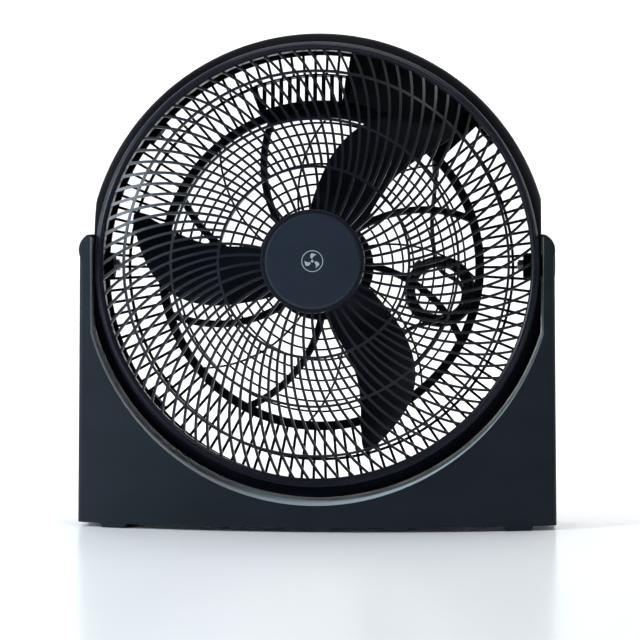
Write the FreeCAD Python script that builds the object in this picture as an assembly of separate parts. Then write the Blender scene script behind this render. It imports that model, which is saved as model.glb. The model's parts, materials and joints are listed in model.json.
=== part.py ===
"""Pivoting floor fan, 20 inch class: a round drum head that tilts between the arms of a U-shaped stand.

Millimetres, +Z up, the front faces -Y. The origin is on the floor, under the middle of the bounding box.
The head is modelled about its own pivot, with its axis along Y, and then tilted and lifted into place.
Forward distances along the head's axis are positive towards the front and are called "fwd" here.
"""
import FreeCAD, Part
import math
import os

V = FreeCAD.Vector

# ---------------------------------------------------------------- driving dimensions: stand
HEAD_TILT = 3.8               # degrees the head leans back at rest
ARM_WIDTH = 12.9              # at the top of each arm
STAND_FLARE = 3.5             # how much wider each side is at the floor
ARM_GAP = 2.1                 # between an arm and the drum's flat
ARM_RISE = 36.0               # top of the arms above the tilt axis
STAND_HALF_DEPTH = 84.0       # at the middle of the bowed panels
STAND_BOW = 40.0              # how far the panels bow out at the middle
STAND_WALL = 3.0
CUT_GAP = 2.0                 # between the drum and the round cut-out that it swings in
UNDER_CUT = 30.5              # lowest point of the cut-out above the floor
LINER_WALL = 2.5
FOOT_HEIGHT = 5.3             # panel's lower edge above the floor
FOOT_INSET = 43.0             # middle of a foot from the stand's side
FOOT_WIDTH = 26.0
FOOT_DEPTH = 22.0
FOOT_SHOULDER = 3.5
PAD_RADIUS = 8.0
PAD_RECESS = 0.4              # how far the rubber pads stand below the feet
SCREW_BOSS_RADIUS = 5.0
SCREW_RADIUS = 1.9

# ---------------------------------------------------------------- driving dimensions: drum and grilles
DRUM_RADIUS = 270.0
DRUM_FLAT_X = 258.5           # flats on the drum's sides, where the arms stand
DRUM_WALL = 3.0
DRUM_FRONT = 34.0             # fwd of the drum's front edge
DRUM_REAR = -50.0             # fwd of the drum's rear edge
SHOULDER_STEP = 15.5          # how far the drum's front edge lies inside its widest part
REAR_TAPER = 7.0              # how far its rear edge does
RING_CREST = 44.0             # fwd of the front grille's rim
RIM_STEP = 8.0                # from the drum's front edge in to the front grille's opening
DOME_CENTRE = 96.0            # fwd of the dome's crown
DOME_RIM = 42.0               # fwd of the dome at the opening
GRILLE_DEPTH = 6.0            # depth of the front ribs
RIB_WIDTH = 3.0
FRONT_RIBS = 90
FRONT_RING_RADII = (108.4, 164.0, 221.0)
FRONT_PHASE = 1.0             # degrees, where one full rib crosses the inner ring
BADGE_RADIUS = 54.5
BADGE_RIM = 4.0               # width of the raised rim round the badge
BADGE_FACE = 104.0            # fwd of the badge's face
RIM_SETBACK = 0.6             # the raised rim stops this far behind the badge's face
RIM_ROUND = 1.0
REAR_PLATE = 4.0              # thickness of the rear grille's plate
REAR_BARS = 110
REAR_BAR_WIDTH = 3.1
REAR_BORDER = 8.0             # width of the plate's solid edge, outside the bars
REAR_THIN_RING = 227.7
REAR_RING_OUTER = 193.1
REAR_RING_INNER = 183.6
REAR_RING_DEPTH = 13.0
REAR_RING_PITCH = 12.2
REAR_RINGS = 9
REAR_RING_WIDTH = 2.4
SPOKE_WIDTH = 8.5
SPOKES = 8
SPOKE_PHASE = 18.5            # degrees, spoke at the strong ring
SPOKE_CURL = 25.5             # degrees that a spoke turns from the strong ring to the hub
BOSS_ANGLE = 39.5             # drum screw bosses above and below the horizontal
BOSS_RADIUS = 5.5

# ---------------------------------------------------------------- driving dimensions: handle and controls
GRIP_FROM = 67.5              # degrees
GRIP_TO = 110.0
GRIP_INNER = 177.5
GRIP_OUTER = 196.0
GRIP_DEPTH = 17.0
POCKET_LEFT_X = -74.0
POCKET_RIGHT_X = 32.0
POCKET_DEPTH = 15.0           # the finger guard stands this far inside the rear grille
SLAT_PITCH = 10.0
SLAT_WIDTH = 4.7
BOX_FROM = 46.8               # degrees
BOX_TO = 80.4
BOX_FRONT = -26.0             # fwd of the control box's front wall
BOX_WALL = 2.4
COVER_THICKNESS = 2.6
KNOB_ANGLE = 64.0
KNOB_PLACE_RADIUS = 219.0
KNOB_RADIUS = 17.0
KNOB_HEIGHT = 13.0

# ---------------------------------------------------------------- driving dimensions: motor and blades
MOTOR_RADIUS = 46.0
MOTOR_WALL = 1.6
STATOR_INNER = 23.4
STATOR_LENGTH = 22.0
AIR_GAP = 0.4
SHAFT_RADIUS = 4.0
SHAFT_FRONT = 40.0
RUNNING_GAP = 0.05
BEARING_RADIUS = 9.0
BEARING_LENGTH = 11.0
HUB_PLATE_RADIUS = 62.0
BLADES = 3
BLADE_TIP = 225.5
BLADE_HUB = 40.0
BLADE_THICKNESS = 2.4
BLADE_PHASE = -76.0           # degrees, the tip of one blade
HUB_FRONT = 32.0
HUB_REAR = 9.0

# ---------------------------------------------------------------- driving dimensions: pivots and cord
PIVOT_BOLT_RADIUS = 4.0
PIVOT_BOSS_RADIUS = 14.5
PIVOT_BOSS_INNER_X = 238.5
CORD_DIAMETER = 5.2
GLAND_LENGTH = 30.0
CLEARANCE = 0.3               # between pieces that only lie near each other

# ---------------------------------------------------------------- driving dimensions: fasteners and pivots
SEAT_DEPTH = 6.0              # the rear bosses' floor under each screw head
PILOT_DEPTH = 18.0
HEAD_RADIUS = 3.5
HEAD_HEIGHT = 2.6
SIDE_EDGE_RADIUS = 7.0
BUSH_RADIUS = 6.5
BUSH_FLANGE_RADIUS = 9.0
PLATE_THICKNESS = 2.0
WASHER_THICKNESS = 1.0
BOLT_HEAD_HEIGHT = 2.8
BOLT_HEAD_RADIUS = 6.5
CAP_PLUG_RADIUS = 10.5
CAP_RADIUS = 13.0
CAP_PROUD = 1.4

# ---------------------------------------------------------------- driving dimensions: controls and motor
COVER_LIP = 1.0               # degrees and millimetres that the cover reaches over the plate
SWITCH_STEM = 3.0
CAPACITOR_LOW = 206.0         # its end nearer the head's axis
CAPACITOR_LENGTH = 37.0
CAPACITOR_WIDTH = 14.0
CAPACITOR_DEPTH = 16.0
CAPACITOR_ANGLE = 53.5
OUTLET_X = 136.0
OUTLET_Z = 138.0
CORD_FWD = -63.0
SHELL_DEPTH = 15.0
WINDING_INNER = 27.0
WINDING_OUTER = 40.0
WINDING_HEIGHT = 9.0
STATOR_SLOTS = 12
# Each row of the blade: radius, degrees of the leading edge and of the trailing edge after the tip,
# fwd of the leading edge and fwd of the trailing edge.
BLADE_ROWS = [
    (38.5, -7.0, 58.0, 10.5, 29.0),
    (71.0, -2.0, 50.5, -3.0, 31.0),
    (95.0, 2.5, 44.4, -8.0, 29.0),
    (126.0, 5.0, 38.5, -11.0, 24.0),
    (150.0, 4.5, 33.4, -11.5, 18.0),
    (176.0, 2.5, 26.5, -11.0, 11.5),
    (199.0, 0.8, 16.6, -9.5, 6.0),
    (217.5, 0.0, 6.0, -7.5, 0.0),
]
BLADE_CAMBER = 3.0

# ---------------------------------------------------------------- driving dimensions: cord's route and plug
CORD_LEAD = [(136.0, 108.0), (134.5, 88.0), (131.5, 65.0), (131.8, 38.0), (135.6, 12.0)]
CORD_TAIL = [(127.0, -66.5), (111.0, -69.5), (97.5, -78.5), (90.0, -92.0), (87.5, -105.0)]
COIL_CENTRE = (141.0, -28.0)
COIL_RADIUS = 35.5            # middle of the bundle of turns
COIL_HALF_WIDTH = 8.6
COIL_HALF_DEPTH = 5.6
TIE_ANGLE = 128.0
TIE_SPAN = 13.0               # degrees of the coil that the tie covers
RELIEF_LENGTH = 22.0
PLUG_LENGTH = 30.0
PLUG_WIDTH = 23.0
PLUG_DEPTH = 13.0
PIN_LENGTH = 15.9
PIN_PITCH = 12.7

# ---------------------------------------------------------------- values that follow
ARM_INNER_X = DRUM_FLAT_X + ARM_GAP
ARM_HALF_WIDTH = ARM_INNER_X + ARM_WIDTH
STAND_HALF_WIDTH = ARM_HALF_WIDTH + STAND_FLARE
CUT_RADIUS = DRUM_RADIUS + CUT_GAP
PIVOT_HEIGHT = CUT_RADIUS + UNDER_CUT
FOOT_CENTRE_X = STAND_HALF_WIDTH - FOOT_INSET
DRUM_FRONT_RADIUS = DRUM_RADIUS - SHOULDER_STEP
DRUM_REAR_RADIUS = DRUM_RADIUS - REAR_TAPER
OPENING_RADIUS = DRUM_FRONT_RADIUS - RIM_STEP
tilt = math.radians(HEAD_TILT)
BADGE_RIM_FACE = BADGE_FACE - RIM_SETBACK
BADGE_RIM_RADIUS = BADGE_RADIUS + BADGE_RIM - RIM_ROUND
front_reach = BADGE_RIM_FACE * math.cos(tilt) + BADGE_RIM_RADIUS * math.sin(tilt)
PIVOT_Y = (front_reach - STAND_HALF_DEPTH) / 2
PIVOT = V(0, PIVOT_Y, PIVOT_HEIGHT)
BOW_RADIUS = (STAND_HALF_WIDTH ** 2 + STAND_BOW ** 2) / (2 * STAND_BOW)
DOME_SAG = DOME_CENTRE - DOME_RIM
DOME_RADIUS = (OPENING_RADIUS ** 2 + DOME_SAG ** 2) / (2 * DOME_SAG)

BORDER = 0.9                  # degrees of plate left beside the openings for the box and the pocket
POCKET_FROM = BOX_TO + 2.0
POCKET_LOW = GRIP_OUTER + CLEARANCE
POCKET_HIGH = REAR_THIN_RING - 1.7
HOLE_FROM = BOX_FROM - 0.3
HOLE_TO = BOX_TO + 0.3
BOX_LOW = GRIP_OUTER + 0.6
BOX_HIGH = DRUM_REAR_RADIUS - DRUM_WALL - 5
SCREW_PLACES = [
    (STAND_HALF_WIDTH - 37, FOOT_HEIGHT + 115),
    (STAND_HALF_WIDTH - 37, FOOT_HEIGHT + 33),
    (STAND_HALF_WIDTH - 165, FOOT_HEIGHT + 23),
]
COVER_SCREWS = [(BOX_HIGH - 5, BOX_FROM + 3), (BOX_HIGH - 5, BOX_TO - 3)]

parts = {}


# ---------------------------------------------------------------- small tools
def line(a, b):
    return Part.LineSegment(a, b).toShape()


def arc(a, middle, b):
    """An arc through three points, or a line where they lie in a row."""
    if middle.distanceToLine(a, b - a) < 1e-6:
        return line(a, b)
    return Part.Arc(a, middle, b).toShape()


def circle(radius, fwd=0.0):
    return Part.Wire(Part.Circle(V(0, -fwd, 0), V(0, 1, 0), radius).toShape())


def fused(shapes):
    first = shapes[0]
    if len(shapes) == 1:
        return first
    return first.multiFuse(shapes[1:]).removeSplitter()


def only_solid(shape):
    """The one solid of a boolean's result, without its compound wrapping."""
    solids = sorted(shape.Solids, key=lambda solid: solid.Volume)
    return solids[-1]


def polar(radius, degrees, fwd=0.0):
    """A point of the head, seen from the front: degrees count anticlockwise from +X."""
    angle = math.radians(degrees)
    return V(radius * math.cos(angle), -fwd, radius * math.sin(angle))


def rod(radius, fwd_low, fwd_high, x=0.0, z=0.0):
    """A cylinder parallel to the head's axis."""
    return Part.makeCylinder(radius, fwd_high - fwd_low, V(x, -fwd_high, z), V(0, 1, 0))


def tube(outer, inner, fwd_low, fwd_high, x=0.0, z=0.0):
    return rod(outer, fwd_low, fwd_high, x, z).cut(rod(inner, fwd_low - 1, fwd_high + 1, x, z))


def cross_rod(radius, x_low, x_high, y=0.0, z=0.0):
    """A cylinder parallel to the tilt axis."""
    return Part.makeCylinder(radius, x_high - x_low, V(x_low, y, z), V(1, 0, 0))


def block(x_low, x_high, y_low, y_high, z_low, z_high):
    return Part.makeBox(x_high - x_low, y_high - y_low, z_high - z_low, V(x_low, y_low, z_low))


def turned(profile, degrees_from=0.0, degrees_to=360.0):
    """A solid of revolution about the head's axis, from (radius, fwd) corners."""
    corners = [V(radius, -fwd, 0) for radius, fwd in profile]
    face = Part.Face(Part.makePolygon(corners + corners[:1]))
    sweep = degrees_to - degrees_from
    solid = face.revolve(V(0, 0, 0), V(0, -1, 0), sweep)
    solid.rotate(V(0, 0, 0), V(0, -1, 0), degrees_from)
    return solid


def around(shape, degrees):
    """A copy turned about the head's axis, anticlockwise from the front."""
    copy = shape.copy()
    copy.rotate(V(0, 0, 0), V(0, -1, 0), degrees)
    return copy


def to_head(shape):
    """From the head's own frame to its place in the stand."""
    placed = shape.copy()
    placed.rotate(V(0, 0, 0), V(1, 0, 0), -HEAD_TILT)
    placed.translate(PIVOT)
    return placed


def mirrored(shape):
    return shape.mirror(V(0, 0, 0), V(1, 0, 0))


def add(name, shape):
    parts[name] = shape


# ---------------------------------------------------------------- curved bars of the two grilles
class Swirl:
    """A bar that is an arc of one circle, through three (radius, degrees) points."""

    def __init__(self, points):
        a, b, c = [polar(radius, degrees) for radius, degrees in points]
        arc_circle = Part.Circle(a, b, c)
        self.centre_radius = math.hypot(arc_circle.Center.x, arc_circle.Center.z)
        self.centre_angle = math.degrees(math.atan2(arc_circle.Center.z, arc_circle.Center.x))
        self.bend = arc_circle.Radius
        offset = points[0][1] - self.centre_angle
        self.side = 1.0 if math.sin(math.radians(offset)) > 0 else -1.0

    def angle(self, radius, shift):
        """Degrees where the bar's line, moved outwards from the bend's centre, meets a radius."""
        bend = self.bend + shift
        top = radius ** 2 + self.centre_radius ** 2 - bend ** 2
        span = math.acos(top / (2 * radius * self.centre_radius))
        return self.centre_angle + self.side * math.degrees(span)


class Straight:
    """A radial bar."""

    side = 1.0

    def angle(self, radius, shift):
        return math.degrees(math.asin(shift / radius))


def cell(bar, low, high, first, second, first_width, second_width):
    """The opening between two neighbouring bars and two rings, as a closed wire."""
    sign = bar.side

    def edge_angle(radius, place, shift):
        return place + bar.angle(radius, shift)

    shifts = (sign * first_width / 2, -sign * second_width / 2)
    middle = (low + high) / 2
    corners = []
    for radius in (low, middle, high):
        starts = edge_angle(radius, first, shifts[0])
        ends = edge_angle(radius, second, shifts[1])
        corners.append((radius, starts, ends))
    (r0, a0, b0), (r1, a1, b1), (r2, a2, b2) = corners
    edges = [
        arc(polar(r0, a0), polar(r1, a1), polar(r2, a2)),
        arc(polar(r2, a2), polar(r2, (a2 + b2) / 2), polar(r2, b2)),
        arc(polar(r2, b2), polar(r1, b1), polar(r0, b0)),
        arc(polar(r0, b0), polar(r0, (a0 + b0) / 2), polar(r0, a0)),
    ]
    return Part.Wire(edges)


def sector_wire(low, high, start, end):
    middle = (start + end) / 2
    return Part.Wire([
        line(polar(low, start), polar(high, start)),
        arc(polar(high, start), polar(high, middle), polar(high, end)),
        line(polar(high, end), polar(low, end)),
        arc(polar(low, end), polar(low, middle), polar(low, start)),
    ])


def sector(low, high, start, end, fwd_low, fwd_high):
    plate = Part.Face(sector_wire(low, high, start, end)).extrude(V(0, -(fwd_high - fwd_low), 0))
    plate.translate(V(0, -fwd_low, 0))
    return plate


def plate_with_cells(radius, cells, fwd_low, fwd_high):
    """A round plate with an opening for each cell."""
    face = Part.Face([circle(radius)] + cells)
    plate = face.extrude(V(0, -(fwd_high - fwd_low), 0))
    plate.translate(V(0, -fwd_low, 0))
    return plate


# ---------------------------------------------------------------- stand
def stand_outline(inset, cut_inset):
    """Front view of the stand, moved in by inset at the outside and by cut_inset at the cut-out."""
    half_low = STAND_HALF_WIDTH - inset
    half_top = ARM_HALF_WIDTH - inset
    low = FOOT_HEIGHT + inset
    top = PIVOT_HEIGHT + ARM_RISE - inset
    inner = ARM_INNER_X + cut_inset
    radius = CUT_RADIUS + cut_inset
    meet = PIVOT_HEIGHT - math.sqrt(radius ** 2 - inner ** 2)
    round_x = (half_top - inner) * 0.8
    round_z = round_x * 2.2
    right = [
        line(V(0, 0, low), V(half_low, 0, low)),
        line(V(half_low, 0, low), V(half_top, 0, top - round_z)),
        arc(V(half_top, 0, top - round_z), V(half_top - round_x * 0.32, 0, top - round_z * 0.27),
            V(half_top - round_x, 0, top)),
        line(V(half_top - round_x, 0, top), V(inner, 0, top)),
        line(V(inner, 0, top), V(inner, 0, meet)),
    ]
    left = [mirrored(edge) for edge in reversed(right)]
    bottom = arc(V(inner, 0, meet), V(0, 0, PIVOT_HEIGHT - radius), V(-inner, 0, meet))
    return Part.Wire(Part.__sortEdges__(right + [bottom] + left))


def through(wire):
    """A prism of an outline in the XZ plane, right through the stand."""
    reach = 3 * STAND_HALF_DEPTH
    prism = Part.Face(wire).extrude(V(0, 2 * reach, 0))
    prism.translate(V(0, PIVOT_Y - reach, 0))
    return prism


def lens(inset):
    """The bowed plan of the stand, moved in by inset."""
    height = PIVOT_HEIGHT + 2 * ARM_RISE
    radius = BOW_RADIUS - inset
    setback = BOW_RADIUS - STAND_HALF_DEPTH
    front = Part.makeCylinder(radius, height + 10, V(0, PIVOT_Y + setback, -10))
    rear = Part.makeCylinder(radius, height + 10, V(0, PIVOT_Y - setback, -10))
    return front.common(rear)


def panel_y(x):
    """Front face of the stand at a distance x from the middle."""
    return PIVOT_Y - STAND_HALF_DEPTH + BOW_RADIUS - math.sqrt(BOW_RADIUS ** 2 - x ** 2)


def stand_side_x(z):
    """Outer face of the stand's right side at a height z."""
    top = PIVOT_HEIGHT + ARM_RISE
    share = (z - FOOT_HEIGHT) / (top - FOOT_HEIGHT)
    return STAND_HALF_WIDTH + (ARM_HALF_WIDTH - STAND_HALF_WIDTH) * share


def foot_wire(side):
    half = FOOT_WIDTH / 2
    top = FOOT_HEIGHT + STAND_WALL
    corners = [
        V(-half, 0, PAD_RECESS), V(half, 0, PAD_RECESS),
        V(half + FOOT_SHOULDER, 0, FOOT_HEIGHT), V(half + FOOT_SHOULDER, 0, top),
        V(-half - FOOT_SHOULDER, 0, top), V(-half - FOOT_SHOULDER, 0, FOOT_HEIGHT),
    ]
    placed = [corner + V(side * FOOT_CENTRE_X, 0, 0) for corner in corners]
    return Part.makePolygon(placed + placed[:1])


def foot_places():
    inset = FOOT_DEPTH / 2
    places = []
    for side in (-1, 1):
        front_y = panel_y(FOOT_CENTRE_X) + inset
        places.append((side * FOOT_CENTRE_X, front_y))
        places.append((side * FOOT_CENTRE_X, 2 * PIVOT_Y - front_y))
    return places


def along_y(radius, x, z, low, high):
    return Part.makeCylinder(radius, high - low, V(x, low, z), V(0, 1, 0))


def make_stand():
    outer = lens(0).common(through(stand_outline(0, 0)))
    outer = only_solid(outer)
    side_edges = []
    for edge in outer.Edges:
        box = edge.BoundBox
        if box.ZLength > 0.6 * PIVOT_HEIGHT and abs(edge.CenterOfMass.x) > ARM_HALF_WIDTH - 2:
            side_edges.append(edge)
    outer = outer.makeFillet(SIDE_EDGE_RADIUS, side_edges)
    hollow = lens(STAND_WALL).common(through(stand_outline(STAND_WALL, 0)))
    shell = outer.cut(hollow)
    feet = [Part.Face(foot_wire(side)) for side in (-1, 1)]
    reach = 3 * STAND_HALF_DEPTH
    for face in feet:
        prism = face.extrude(V(0, 2 * reach, 0))
        prism.translate(V(0, PIVOT_Y - reach, 0))
        shell = shell.fuse(prism.common(lens(0)).cut(lens(FOOT_DEPTH)))
    bosses = []
    holes = []
    split = PIVOT_Y
    far = PIVOT_Y + reach
    for x, z in [(side * x, z) for x, z in SCREW_PLACES for side in (-1, 1)]:
        bosses.append(along_y(SCREW_BOSS_RADIUS, x, z, PIVOT_Y - reach, far).common(lens(STAND_WALL / 2)))
        holes.append(along_y(SCREW_RADIUS + 0.1, x, z, split - PILOT_DEPTH, split + SEAT_DEPTH + 1))
        holes.append(along_y(HEAD_RADIUS + CLEARANCE, x, z, split + SEAT_DEPTH, far))
    for x, y in foot_places():
        holes.append(Part.makeCylinder(PAD_RADIUS, FOOT_HEIGHT, V(x, y, -1)))
    for side in (-1, 1):
        start = 0.9 * ARM_INNER_X
        access = cross_rod(CAP_PLUG_RADIUS + 0.1, start, STAND_HALF_WIDTH + 5, PIVOT_Y, PIVOT_HEIGHT)
        holes.append(access if side > 0 else mirrored(access))
    shell = shell.multiFuse(bosses)
    shell = shell.cut(Part.makeCompound(holes))
    wide = 2 * STAND_HALF_WIDTH
    tall = 2 * PIVOT_HEIGHT
    front_half = block(-wide, wide, PIVOT_Y - reach, PIVOT_Y, -20, tall)
    rear_half = block(-wide, wide, PIVOT_Y, PIVOT_Y + reach, -20, tall)
    add("stand_front_shell", only_solid(shell.common(front_half).removeSplitter()))
    add("stand_rear_shell", only_solid(shell.common(rear_half).removeSplitter()))


def make_liner():
    """The bent wall that lines the cut-out between the two shells."""
    band = through(stand_outline(STAND_WALL, 0)).cut(through(stand_outline(STAND_WALL, LINER_WALL)))
    keep = block(-ARM_INNER_X - LINER_WALL, ARM_INNER_X + LINER_WALL, -500, 500, 0, 600)
    strip = lens(STAND_WALL).common(band).common(keep)
    for side in (-1, 1):
        hole = cross_rod(BUSH_RADIUS, 0.9 * ARM_INNER_X, STAND_HALF_WIDTH, PIVOT_Y, PIVOT_HEIGHT)
        strip = strip.cut(hole if side > 0 else mirrored(hole))
    add("stand_inner_wall", only_solid(strip))


def make_feet_and_screws():
    pads = [Part.makeCylinder(PAD_RADIUS - 0.1, FOOT_HEIGHT - 1, V(x, y, 0)) for x, y in foot_places()]
    add("rubber_feet", Part.makeCompound(pads))
    screws = []
    for x, z in [(side * x, z) for x, z in SCREW_PLACES for side in (-1, 1)]:
        seat = PIVOT_Y + SEAT_DEPTH
        shank = along_y(SCREW_RADIUS, x, z, seat - SEAT_DEPTH - PILOT_DEPTH + 2, seat)
        head = along_y(HEAD_RADIUS, x, z, seat, seat + HEAD_HEIGHT)
        cross = [block(x - 2, x + 2, seat + 1.2, seat + 9, z - 0.4, z + 0.4),
                 block(x - 0.4, x + 0.4, seat + 1.2, seat + 9, z - 2, z + 2)]
        screws.append(fused([shank, head]).cut(cross[0]).cut(cross[1]))
    add("stand_screws", Part.makeCompound(screws))


# ---------------------------------------------------------------- pivots
def hexagon(across, x_low, x_high):
    corners = []
    for step in range(7):
        angle = math.radians(60 * step)
        corners.append(V(x_low, across / 2 * math.cos(angle), across / 2 * math.sin(angle)))
    return Part.Face(Part.makePolygon(corners)).extrude(V(x_high - x_low, 0, 0))


def make_pivots():
    """Each side's stack, built on the right about the tilt axis and mirrored to the left."""
    wall_out = ARM_INNER_X + LINER_WALL
    plate_out = wall_out + PLATE_THICKNESS
    bush_out = plate_out + 0.4
    washer_out = bush_out + CLEARANCE / 3 + WASHER_THICKNESS
    bore = PIVOT_BOLT_RADIUS + RUNNING_GAP
    washer_in = DRUM_FLAT_X + CLEARANCE
    side_wall = stand_side_x(PIVOT_HEIGHT)
    plate = block(wall_out, plate_out, -14, 14, -34, 24).cut(cross_rod(BUSH_RADIUS, 200, 300))
    bush = cross_rod(BUSH_RADIUS, ARM_INNER_X, bush_out).cut(cross_rod(bore, 200, 300))
    friction = cross_rod(13, washer_in, ARM_INNER_X - CLEARANCE / 2).cut(cross_rod(bore, 200, 300))
    steel = cross_rod(BUSH_FLANGE_RADIUS, washer_out - WASHER_THICKNESS, washer_out)
    steel = steel.cut(cross_rod(PIVOT_BOLT_RADIUS, 200, 300))
    bolt = fused([
        cross_rod(PIVOT_BOLT_RADIUS, PIVOT_BOSS_INNER_X - 7, washer_out + 0.5),
        cross_rod(BOLT_HEAD_RADIUS, washer_out, washer_out + BOLT_HEAD_HEIGHT),
    ]).cut(hexagon(5, washer_out + 1, washer_out + 9))
    nut = hexagon(15, PIVOT_BOSS_INNER_X - 6, PIVOT_BOSS_INNER_X).cut(cross_rod(PIVOT_BOLT_RADIUS, 200, 300))
    cap = fused([
        cross_rod(CAP_PLUG_RADIUS, side_wall - STAND_WALL + 1, side_wall + 0.5),
        cross_rod(CAP_RADIUS, side_wall + 0.3, side_wall + CAP_PROUD),
    ])
    stand_pieces = {"pivot_plate": plate, "pivot_bush": bush, "friction_washer": friction, "pivot_cap": cap}
    head_pieces = {"pivot_bolt": bolt, "pivot_washer": steel, "pivot_nut": nut}
    for name, shape in {**stand_pieces, **head_pieces}.items():
        for side, piece in (("right", shape), ("left", mirrored(shape))):
            placed = to_head(piece) if name in head_pieces else piece.translated(PIVOT)
            add(name + "_" + side, placed)


# ---------------------------------------------------------------- drum housing
def drum_volume(wall):
    """The drum's outer form, or its inner form when wall is its thickness."""
    front = DRUM_FRONT_RADIUS - wall
    widest = DRUM_RADIUS - wall
    rear = DRUM_REAR_RADIUS - wall
    belt_front = DRUM_FRONT * 0.15
    belt_rear = -8.0

    def point(radius, fwd):
        return V(radius, -fwd, 0)

    shoulder = (front + 0.78 * (widest - front), DRUM_FRONT * 0.6)
    edges = [
        line(point(0, DRUM_REAR), point(rear, DRUM_REAR)),
        line(point(rear, DRUM_REAR), point(widest, belt_rear)),
        line(point(widest, belt_rear), point(widest, belt_front)),
        arc(point(widest, belt_front), point(*shoulder), point(front, DRUM_FRONT)),
        line(point(front, DRUM_FRONT), point(0, DRUM_FRONT)),
        line(point(0, DRUM_FRONT), point(0, DRUM_REAR)),
    ]
    solid = Part.Face(Part.Wire(edges)).revolve(V(0, 0, 0), V(0, 1, 0), 360)
    flat = DRUM_FLAT_X - wall
    return solid.common(block(-flat, flat, -200, 200, -400, 400))


def boss_angles():
    return [BOSS_ANGLE, 180 - BOSS_ANGLE, 180 + BOSS_ANGLE, -BOSS_ANGLE]


def drum_screw_radius():
    return DRUM_REAR_RADIUS - DRUM_WALL - 7


def make_drum():
    outer = drum_volume(0)
    shell = outer.cut(drum_volume(DRUM_WALL))
    inner_radius = DRUM_REAR_RADIUS - DRUM_WALL
    half_angle = math.degrees(BOSS_RADIUS / inner_radius)
    front_of_plate = DRUM_REAR + REAR_PLATE
    bosses = []
    holes = []
    for angle in boss_angles():
        bosses.append(sector(OPENING_RADIUS, DRUM_RADIUS, angle - half_angle, angle + half_angle,
                             front_of_plate, front_of_plate + 22).common(outer))
        place = polar(drum_screw_radius(), angle)
        holes.append(rod(SCREW_RADIUS + 0.1, front_of_plate - 1, front_of_plate + 14, place.x, place.z))
    for side in (-1, 1):
        boss = cross_rod(PIVOT_BOSS_RADIUS, PIVOT_BOSS_INNER_X, DRUM_FLAT_X - DRUM_WALL / 2)
        hole = cross_rod(PIVOT_BOLT_RADIUS, PIVOT_BOSS_INNER_X - 1, DRUM_FLAT_X + 1)
        bosses.append(boss if side > 0 else mirrored(boss))
        holes.append(hole if side > 0 else mirrored(hole))
    shell = shell.multiFuse(bosses).cut(Part.makeCompound(holes))
    add("drum_housing", to_head(only_solid(shell)))


# ---------------------------------------------------------------- front grille
def make_front_grille():
    hub = BADGE_RADIUS + BADGE_RIM
    rib = Swirl([(61.5, 0.0), (139.0, 7.4), (246.0, 22.8)])
    offset = rib.angle(FRONT_RING_RADII[0], 0)
    pitch = 360.0 / FRONT_RIBS
    half_ring = RIB_WIDTH / 2
    edges = [hub - 0.5] + list(FRONT_RING_RADII) + [OPENING_RADIUS + 0.8]
    cells = []
    for zone in range(len(edges) - 1):
        low = edges[zone] + (half_ring if zone > 0 else 0.7)
        high = edges[zone + 1] - (half_ring if zone < len(edges) - 2 else 0.0)
        step = 2 if zone == 0 else 1
        for index in range(0, FRONT_RIBS, step):
            start = FRONT_PHASE - offset + index * pitch
            cells.append(cell(rib, low, high, start, start + step * pitch, RIB_WIDTH, RIB_WIDTH))
    plate = plate_with_cells(OPENING_RADIUS + 2.5, cells, DRUM_FRONT - 4, DOME_CENTRE + 5)
    ball_centre = DOME_CENTRE - DOME_RADIUS
    outer = Part.makeSphere(DOME_RADIUS, V(0, -ball_centre, 0))
    inner = Part.makeSphere(DOME_RADIUS - GRILLE_DEPTH, V(0, -ball_centre, 0))
    web = plate.common(outer).cut(inner)
    rim_low = DRUM_FRONT - 12
    spigot = DRUM_FRONT_RADIUS - DRUM_WALL - CLEARANCE

    def point(radius, fwd):
        return V(radius, -fwd, 0)

    rim_edge = OPENING_RADIUS + 1
    outside = DRUM_FRONT_RADIUS + 2
    rim = Part.Wire([
        line(point(rim_edge, rim_low), point(spigot, rim_low)),
        line(point(spigot, rim_low), point(spigot, DRUM_FRONT)),
        line(point(spigot, DRUM_FRONT), point(outside, DRUM_FRONT)),
        arc(point(outside, DRUM_FRONT), point(outside - 1.4, RING_CREST - 3),
            point(outside - 5, RING_CREST)),
        arc(point(outside - 5, RING_CREST), point(outside - 8.2, RING_CREST - 0.8),
            point(OPENING_RADIUS, RING_CREST - 3.5)),
        line(point(OPENING_RADIUS, RING_CREST - 3.5), point(rim_edge, rim_low)),
    ])
    rim_solid = Part.Face(rim).revolve(V(0, 0, 0), V(0, 1, 0), 360)
    hub_low = BADGE_FACE - 13
    hub_solid = turned([(0, hub_low), (hub - 2, hub_low), (hub, hub_low + 2), (hub, BADGE_RIM_FACE - 1.4),
                        (BADGE_RIM_RADIUS, BADGE_RIM_FACE), (BADGE_RADIUS, BADGE_RIM_FACE),
                        (BADGE_RADIUS, BADGE_FACE - 4), (0, BADGE_FACE - 4)])
    grille = web.multiFuse([rim_solid, hub_solid])
    add("front_grille", to_head(only_solid(grille)))
    badge = turned([(0, BADGE_FACE - 4), (BADGE_RADIUS - 0.2, BADGE_FACE - 4),
                    (BADGE_RADIUS - 0.2, BADGE_FACE - 1.2), (BADGE_RADIUS - 3, BADGE_FACE - 0.4),
                    (0, BADGE_FACE)])
    add("centre_badge", to_head(badge))


# ---------------------------------------------------------------- rear grille, handle and guard
def near_boss(degrees, reach):
    """True when an angle lies within reach of one of the drum's screw bosses."""
    return any(abs((degrees - angle + 180) % 360 - 180) < reach for angle in boss_angles())


def clear_of(start, end, low, high):
    """True when a cell between two bar angles lies outside the span from low to high."""
    return all(not (low - BORDER < angle < high + BORDER) for angle in (start, end, (start + end) / 2))


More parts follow.
